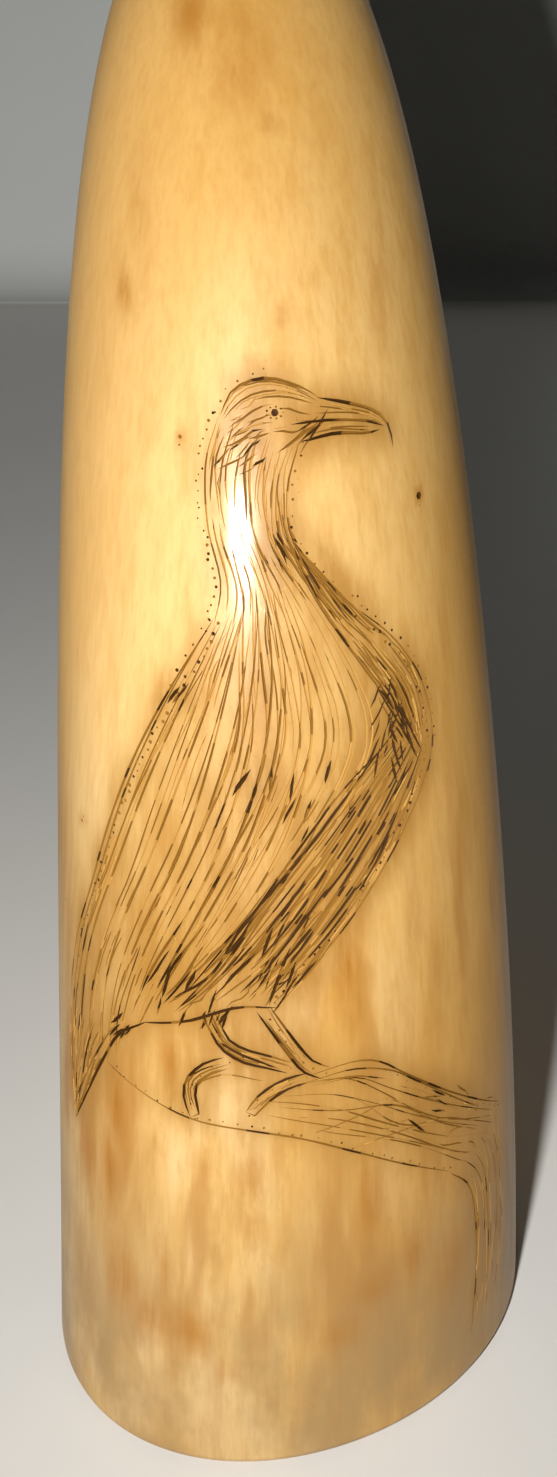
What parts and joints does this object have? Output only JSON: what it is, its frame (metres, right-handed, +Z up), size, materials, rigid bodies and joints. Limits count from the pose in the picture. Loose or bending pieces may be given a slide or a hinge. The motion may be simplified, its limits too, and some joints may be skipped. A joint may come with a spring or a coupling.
{
  "type": "scrimshaw whale tooth",
  "caption": "Polished sperm whale tooth with an engraved bird on one side, standing on its flat sawn base.",
  "frame": {"origin": "on the base plane, under the middle of the tooth's box", "axes": "+Z up from the base to the tip, -Y towards the viewer of the engraved side, +X to that viewer's right"},
  "size_m": [0.0592, 0.0604, 0.1594],
  "materials": {
    "ivory": "polished yellowed whale ivory, glossy, with brown-black engraved lines"
  },
  "bodies": {
    "root": {"tooth": "ivory"}
  },
  "joints": []
}
